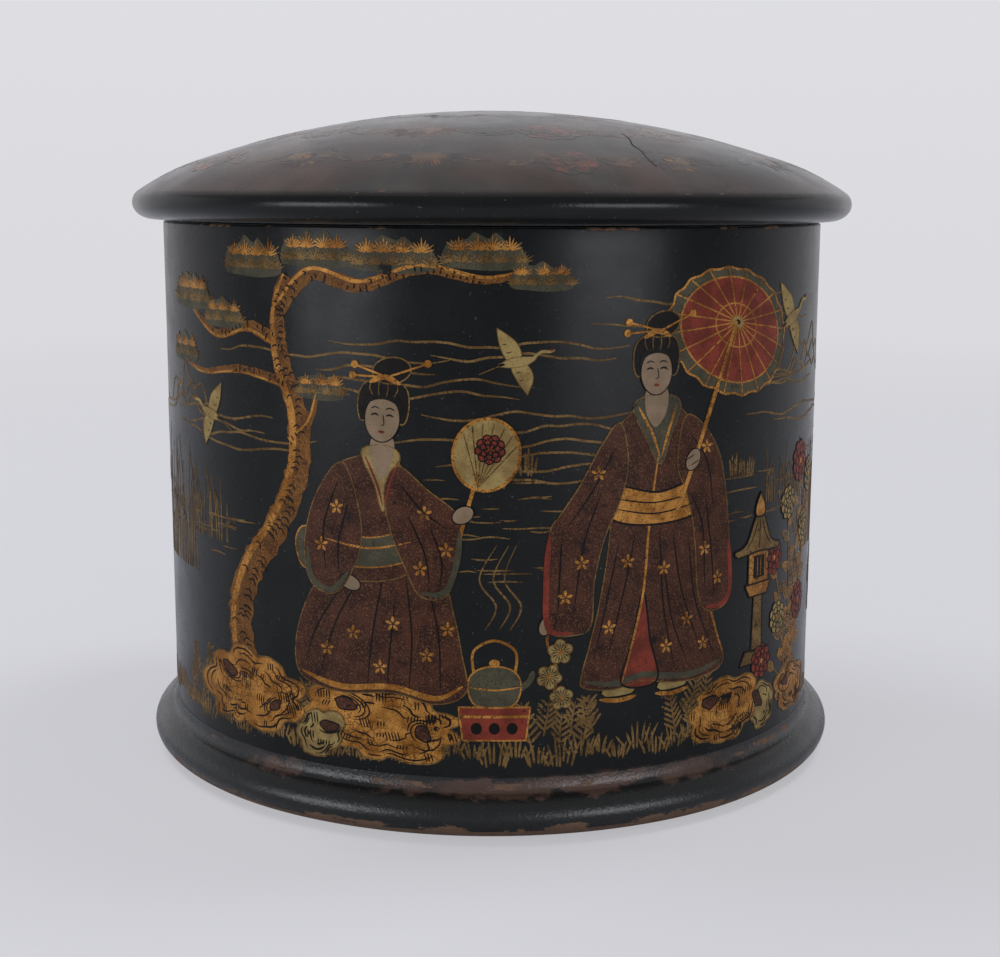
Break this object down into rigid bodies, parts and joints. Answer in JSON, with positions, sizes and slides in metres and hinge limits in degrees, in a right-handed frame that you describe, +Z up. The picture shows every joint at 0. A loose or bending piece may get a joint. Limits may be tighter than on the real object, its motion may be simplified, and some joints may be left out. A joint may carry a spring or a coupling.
{
  "type": "papier-mache box",
  "caption": "Round papier-mache box in black lacquer with a beaded foot and a domed lift-off lid on a locating collar.",
  "frame": {"origin": "centre of the underside, on the surface that the box stands on", "axes": "+Z up along the axis of the round box, -Y towards the side seen in the picture"},
  "size_m": [0.1198, 0.1198, 0.1063],
  "materials": {
    "black_lacquer": "gloss",
    "inner_lacquer": "satin",
    "bare_board": "matte"
  },
  "bodies": {
    "box": {"base_board": "bare_board", "body_tube": "black_lacquer", "floor_disc": "inner_lacquer", "foot_ring": "black_lacquer"},
    "lid": {"lid_dome": "black_lacquer", "lid_rim": "black_lacquer", "lid_collar": "inner_lacquer"}
  },
  "joints": [
    {"name": "lid_lift", "type": "slide", "parent": "box", "child": "lid", "axis": [0, 0, 1], "range_m": [0, 0.06]}
  ]
}
